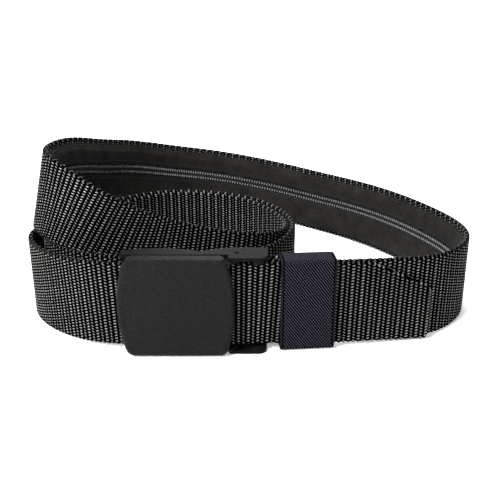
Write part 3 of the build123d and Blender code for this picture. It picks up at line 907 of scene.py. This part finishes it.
@dataclass
class Keeper:
    """The elastic sleeve, its sewn lap and its two rows of stitches."""

    finish: bpy.types.Material
    thread_finish: bpy.types.Material
    left_x: float = 12.5
    width: float = 23.5
    front_y: float = -82.0
    back_y: float = -70.8
    height: float = 41.6
    wall: float = 1.0
    corner: float = 1.6
    lap_height: float = 13.0
    lap_thickness: float = 0.9
    slope: float = 0.09
    twill_pitch: float = 1.2
    twill_slant: float = 1.35
    float_pitch: float = 1.05
    float_slant: float = 3.1
    selvedge: float = 0.9
    groove: float = 1.25
    mean_relief: float = 0.75
    stitch_across: tuple = (-4.5, 4.5)
    stitch_inset: float = 0.8
    step: float = 0.24

    @staticmethod
    def loop(depth: float, height: float, r: float, inset: float, count: int) -> tuple[Array, Array, Array]:
        """A rounded rectangle at that inset.

        Args:
            depth: its whole depth.
            height: its whole height.
            r: the corners' radius on the outside.
            inset: distance in from the outside.
            count: points around.

        Returns:
            Depth and height of each point, and the length round the outside.
        """
        half_d, half_h = depth / 2, height / 2
        straight_d, straight_h = 2 * (half_d - r), 2 * (half_h - r)
        quarter = math.pi * r / 2
        total = 2 * straight_d + 2 * straight_h + 4 * quarter
        q = np.linspace(0, total, count, endpoint=False)
        x, y = np.zeros(count), np.zeros(count)
        start = 0.0
        for way in ((0, 1), (1, 0), (0, -1), (-1, 0)):
            out = (-way[1], way[0])
            cx, cy = (out[0] - way[0]) * (half_d - r), (out[1] - way[1]) * (half_h - r)
            run = straight_h if way[0] == 0 else straight_d
            on = (q >= start) & (q < start + run)
            local = q[on] - start
            x[on] = cx + way[0] * local + out[0] * (r - inset)
            y[on] = cy + way[1] * local + out[1] * (r - inset)
            start += run
            nx, ny = cx + way[0] * run, cy + way[1] * run
            on = (q >= start) & (q < start + quarter)
            bend = (q[on] - start) / r
            x[on] = nx + (r - inset) * (out[0] * np.cos(bend) + way[0] * np.sin(bend))
            y[on] = ny + (r - inset) * (out[1] * np.cos(bend) + way[1] * np.sin(bend))
            start += quarter
        return x, y, q

    def twill(self, across: Array, around: Array) -> Array:
        """The relief: slanting ridges broken into short floats, with a plain rib along each edge.

        A ridge is a sine squared across lines that fall one part along for each twill slant
        parts round the sleeve, and a sine of the other slant cuts it into floats.
        """
        line = across / self.twill_pitch + around / (self.twill_pitch * self.twill_slant)
        ridge = np.sin(math.pi * line) ** 2
        gaps = around / self.float_pitch - across / self.float_slant
        cut = 0.55 + 0.45 * np.abs(np.sin(math.pi * gaps))
        edge = np.minimum(across, self.width - across)
        plain = 0.58 + 0.1 * np.sin(around * 7.0)
        return np.where(edge < self.selvedge, plain, np.where(edge < self.groove, 0.25, ridge * cut))

    def spot(self, along: Array, depth: Array, up: Array) -> Array:
        """Points in space from the distance along the sleeve, and depth and height from its middle."""
        run = np.array([1.0, self.slope, 0]) / math.hypot(1, self.slope)
        deep = np.array([-self.slope, 1.0, 0]) / math.hypot(1, self.slope)
        middle_y = (self.front_y + self.back_y) / 2 - self.slope * self.width / 2
        origin = np.array([self.left_x, middle_y, self.height / 2])
        up_way = np.array([0, 0, 1.0])
        return origin + along[..., None] * run + depth[..., None] * deep + up[..., None] * up_way

    def sleeve(self) -> None:
        """The sleeve: an outer and an inner skin joined at both ends."""
        around, probe = 400, 0.5
        along = np.linspace(0.0, self.width, round(self.width / self.step) + 1)
        size = (self.back_y - self.front_y, self.height, self.corner)
        outer_x, outer_y, q = self.loop(*size, 0.0, around)
        mid_x, mid_y, _ = self.loop(*size, probe, around)
        inner_x, inner_y, _ = self.loop(*size, self.wall, around)
        out = np.stack([outer_x - mid_x, outer_y - mid_y], -1) / probe
        a, g = np.meshgrid(along, q, indexing="ij")
        height = self.twill(a, g)
        edge = np.minimum(a, self.width - a)
        swell = 0.38 * (height - self.mean_relief) - 0.35 * np.clip(1 - edge / 0.5, 0, 1) ** 2
        outer = self.spot(a, outer_x + swell * out[:, 0], outer_y + swell * out[:, 1])
        inner_along = along[[0, *range(4, len(along) - 4, 8), -1]]
        b, _ = np.meshgrid(inner_along, q, indexing="ij")
        inner = self.spot(b, inner_x, inner_y)
        rings = np.concatenate([outer, inner[::-1]])
        quads = tube_quads(len(rings), around)
        i = np.arange(around)
        k = (i + 1) % around
        base = (len(rings) - 1) * around
        quads = np.concatenate([quads, np.stack([base + i, base + k, k, i], -1)])
        inner_cloth = np.stack([b, g[: len(b)]], -1)[::-1]
        cloth = np.concatenate([np.stack([a, g], -1), inner_cloth]).reshape(-1, 2)
        relief = np.concatenate([height, np.full(b.shape, 0.6)]).ravel()
        patch = Patch(rings.reshape(-1, 3), quads, cloth, relief).outward()
        piece = patch.to_object("keeper_sleeve", self.finish, "keeper")
        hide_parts("elastic_keeper")

    def lap(self) -> None:
        """The lap where the sleeve's ends are sewn over each other at its back."""
        around, probe, inset = 120, 0.2, 0.2
        along = np.linspace(inset, self.width - inset, round(self.width / self.step) + 1)
        size = (self.lap_thickness, self.lap_height, 0.4)
        outer_x, outer_y, q = self.loop(*size, 0.0, around)
        mid_x, mid_y, _ = self.loop(*size, probe, around)
        out = np.stack([outer_x - mid_x, outer_y - mid_y], -1) / probe
        a, g = np.meshgrid(along, q, indexing="ij")
        height = self.twill(a, g)
        swell = 0.2 * (height - self.mean_relief)
        depth = (self.back_y - self.front_y + self.lap_thickness) / 2 + outer_x
        points = self.spot(a, depth + swell * out[:, 0], outer_y + swell * out[:, 1]).reshape(-1, 3)
        quads = np.concatenate([tube_quads(len(along), around), end_caps(len(along), around)])
        cloth = np.stack([a, g], -1).reshape(-1, 2)
        patch = Patch(points, quads, cloth, height.ravel()).outward()
        piece = patch.to_object("keeper_lap_cloth", self.finish, "keeper")
        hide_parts("keeper_lap")

    def stitches(self) -> None:
        """Two rows of stitches through the lap."""
        level = (self.back_y - self.front_y) / 2 + self.lap_thickness + 0.12
        start, end = self.stitch_inset, self.width - self.stitch_inset
        rows = [
            StitchRow(lambda s, w, n: self.spot(s, n, w), start, end, across, level).patch()
            for across in self.stitch_across
        ]
        piece = rows[0].joined(rows[1:]).to_object("keeper_thread", self.thread_finish, "keeper")
        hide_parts("keeper_stitching")

    def build(self) -> None:
        """Make the sleeve, the lap and its stitches."""
        self.sleeve()
        self.lap()
        self.stitches()


def fold_stitches(path: StrapPath, finish: bpy.types.Material) -> None:
    """Four rows of stitches on the flap that the strap's end is folded back into.

    Args:
        path: the strap's middle line.
        finish: the thread's material.
    """
    start, end = path.at_x(FOLD_X, FOLD_POINT, path.last), path.at(path.last) - FOLD_GAP
    rows = [StitchRow(path.place, start, end, across, FOLD_LEVEL, -1).patch() for across in FOLD_ROWS]
    piece = rows[0].joined(rows[1:]).to_object("fold_thread", finish, "belt")
    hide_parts("fold_stitching")


def dress(node: str, finish: bpy.types.Material) -> None:
    """Give a CAD node its material.

    Args:
        node: the node's name.
        finish: the material.
    """
    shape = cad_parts[node]
    shape.data.materials.clear()
    shape.data.materials.append(finish)
    log.info("%s dressed with %s", node, finish.name)


@dataclass
class Studio:
    """The floor, the lights and the camera."""

    camera_place: tuple = (0.0, -0.3495, 0.1482)
    pitch_down: float = 20.85
    floor_near: float = 0.36
    floor_far: float = 0.78
    floor_drop: float = 0.0003
    sky: float = 0.25
    lens: float = 50.4

    def floor(self) -> None:
        """A pale floor that the belt stands on."""
        mesh = bpy.data.meshes.new("floor")
        mesh.from_pydata([(-20, -20, 0), (20, -20, 0), (20, 20, 0), (-20, 20, 0)], [], [(0, 1, 2, 3)])
        floor = bpy.data.objects.new("floor", mesh)
        bpy.context.scene.collection.objects.link(floor)
        floor.location.z = -self.floor_drop
        paint = Paint("floor_paint")
        place = paint.coords(Coords.OBJECT)
        paper = paint.noise(place, 3.0)
        colour = paint.mix(paper, (0.9, 0.9, 0.9), (0.94, 0.94, 0.94))
        away = paint.node("ShaderNodeVectorMath", {"operation": "LENGTH"}, {0: place}, "Value")
        share = paint.ramp(away, (0.12, 0.0), (0.6, 1.0))
        glow = paint.mix(share, (self.floor_near,) * 3, (self.floor_far,) * 3)
        mesh.materials.append(
            paint.finish(Base_Color=colour, Roughness=0.9, Emission_Color=glow, Emission_Strength=1.0)
        )

    def light(self, name: str, place: tuple, size: float, power: float) -> None:
        """One soft square light that faces the belt.

        Args:
            name: the light's name.
            place: where it hangs, in metres.
            size: its side.
            power: its power in watts.
        """
        data = bpy.data.lights.new(name, "AREA")
        data.size = size
        data.energy = power
        lamp = bpy.data.objects.new(name, data)
        bpy.context.scene.collection.objects.link(lamp)
        lamp.location = place
        away = lamp.location - bpy.data.objects["floor"].location
        lamp.rotation_mode = "QUATERNION"
        lamp.rotation_quaternion = away.to_track_quat("Z", "Y")

    def build(self) -> None:
        """Set up the whole studio."""
        self.floor()
        self.light("key", (-0.35, -0.40, 1.2), 0.3, 24.0)
        self.light("near_left", (-0.24, -0.27, 0.22), 0.1, 2.0)
        self.light("fill", (0.9, -0.6, 0.5), 0.5, 2.0)
        self.light("rim", (0.0, 0.9, 0.42), 0.5, 4.0)
        self.light("back", (0.0, 0.35, 1.2), 0.5, 14.0)
        world = bpy.data.worlds.new("studio")
        bpy.context.scene.world = world
        world.use_nodes = True
        world.node_tree.nodes["Background"].inputs[0].default_value = (1.0, 1.0, 1.0, 1.0)
        world.node_tree.nodes["Background"].inputs[1].default_value = self.sky
        data = bpy.data.cameras.new("camera")
        data.lens = self.lens
        data.clip_start = 0.01
        camera = bpy.data.objects.new("camera", data)
        bpy.context.scene.collection.objects.link(camera)
        camera.location = self.camera_place
        camera.rotation_euler = (math.radians(90 - self.pitch_down), 0.0, 0.0)
        bpy.context.scene.camera = camera
        bpy.context.scene.view_settings.view_transform = "Standard"


def main() -> None:
    """Build the belt piece by piece, then the studio."""
    logging.basicConfig(level=logging.INFO, format="%(name)s %(message)s")
    webbing = WebbingFinish().build()
    elastic = TwillFinish().build()
    lining = LiningFinish().build()
    thread = ThreadFinish("black_thread", (0.004, 0.004, 0.004), (0.022, 0.021, 0.019), 9000.0, 0.55).build()
    tape = ThreadFinish("black_tape", (0.006, 0.006, 0.006), (0.03, 0.028, 0.026), 7000.0, 0.75).build()
    coil = CoilFinish().build()
    grained = (0.0005, 0.0005, 0.0005), (0.013, 0.0133, 0.0122)
    cover = MouldedFinish(
        "grained_cover", *grained, grain=1300.0, grain_depth=0.0013, roughness=0.45, shine=0.05, flecks=0.25
    ).build()
    smooth = (0.001, 0.001, 0.001), (0.006, 0.0056, 0.005)
    moulding = MouldedFinish(
        "smooth_frame", *smooth, grain=900.0, grain_depth=0.00015, roughness=0.55, shine=0.03
    ).build()
    steel = MetalFinish("pin_steel", (0.010, 0.010, 0.010), (0.05, 0.05, 0.05), 0.8, 0.45).build()
    enamel = MetalFinish("zip_enamel", (0.012, 0.012, 0.012), (0.05, 0.05, 0.05), 0.4, 0.28).build()
    path = StrapPath(ROUTE)
    WebbingStrap(path, webbing).build()
    Pocket(path, lining, tape, thread, coil).build()
    Keeper(elastic, thread).build()
    dress("buckle_lever", cover)
    dress("buckle_frame", moulding)
    dress("pivot_pin", steel)
    fold_stitches(path, thread)
    for node in ("zipper_slider", "slider_bridge", "pull_tab", "zipper_bottom_stop", "zipper_top_stops"):
        dress(node, enamel)
    Studio().build()


if __name__ == "__main__":
    main()
